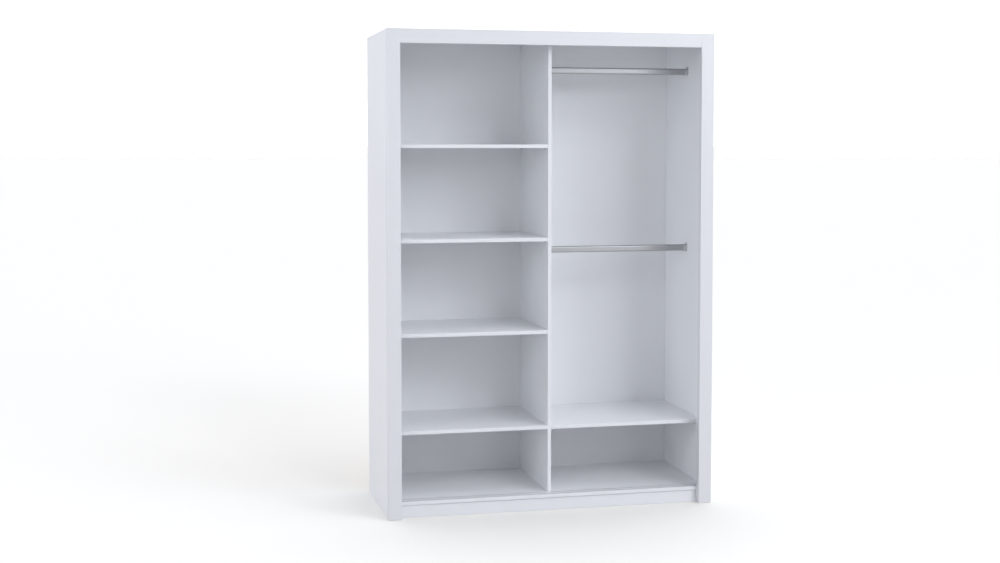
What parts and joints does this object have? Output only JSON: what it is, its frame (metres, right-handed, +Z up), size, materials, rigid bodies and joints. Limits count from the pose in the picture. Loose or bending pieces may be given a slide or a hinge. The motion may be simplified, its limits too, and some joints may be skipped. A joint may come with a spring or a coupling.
{
  "type": "open wardrobe carcass for sliding doors",
  "caption": "Tall two-bay white wardrobe carcass without doors: shelves on one side, hanging rails over a shelf on the other, framed front and guide tracks for sliding doors.",
  "frame": {"origin": "on the floor, at the centre of the footprint", "axes": "+Z up, +Y to the back, +X to the right when seen from the front"},
  "size_m": [1.5, 0.6, 2.15],
  "materials": {
    "melamine": "white melamine-faced chipboard, satin",
    "foil_wrapped_frame": "white foil-wrapped MDF profile, satin",
    "hardboard": "white lacquered face inside, brown hardboard outside",
    "track": "satin anodised",
    "rail_tube": "satin anodised aluminium",
    "cast_zinc": "die-cast zinc, satin",
    "zinc_plated_steel": "bright zinc plate",
    "beech": "fluted beech dowel",
    "glide_plastic": "moulded"
  },
  "bodies": {
    "carcass": {"side_panel_left": "melamine", "side_panel_right": "melamine", "top_panel": "melamine", "bottom_panel": "melamine", "centre_divider": "melamine", "front_plinth": "melamine", "rear_plinth": "melamine", "plinth_brace": "melamine", "shelf_left_fixed": "melamine", "shelf_right_fixed": "melamine", "front_post_left": "foil_wrapped_frame", "front_post_right": "foil_wrapped_frame", "header_rail": "foil_wrapped_frame", "back_panel_left": "hardboard", "back_panel_right": "hardboard", "bottom_track_front": "track", "bottom_track_rear": "track", "top_track_front": "track", "top_track_rear": "track", "rail_support_upper_left": "cast_zinc", "rail_support_upper_right": "cast_zinc", "rail_support_lower_left": "cast_zinc", "rail_support_lower_right": "cast_zinc", "cam_locks": "cast_zinc", "cam_bolts": "zinc_plated_steel", "divider_screws": "zinc_plated_steel", "rail_support_screws": "zinc_plated_steel", "top_track_screws": "zinc_plated_steel", "back_panel_nails": "zinc_plated_steel", "shelf_pins": "zinc_plated_steel", "dowels": "beech", "floor_glides": "glide_plastic"},
    "upper_left_shelf": {"shelf_left_upper": "melamine"},
    "middle_left_shelf": {"shelf_left_middle": "melamine"},
    "lower_left_shelf": {"shelf_left_lower": "melamine"},
    "upper_rail": {"hanging_rail_upper": "rail_tube"},
    "lower_rail": {"hanging_rail_lower": "rail_tube"}
  },
  "joints": [
    {"name": "upper_left_shelf_lift", "type": "slide", "parent": "carcass", "child": "upper_left_shelf", "axis": [0, 0, 1], "range_m": [0, 0.12]},
    {"name": "middle_left_shelf_lift", "type": "slide", "parent": "carcass", "child": "middle_left_shelf", "axis": [0, 0, 1], "range_m": [0, 0.12]},
    {"name": "lower_left_shelf_lift", "type": "slide", "parent": "carcass", "child": "lower_left_shelf", "axis": [0, 0, 1], "range_m": [0, 0.12]},
    {"name": "upper_rail_lift", "type": "slide", "parent": "carcass", "child": "upper_rail", "axis": [0, 0, 1], "range_m": [0, 0.045]},
    {"name": "lower_rail_lift", "type": "slide", "parent": "carcass", "child": "lower_rail", "axis": [0, 0, 1], "range_m": [0, 0.045]}
  ]
}
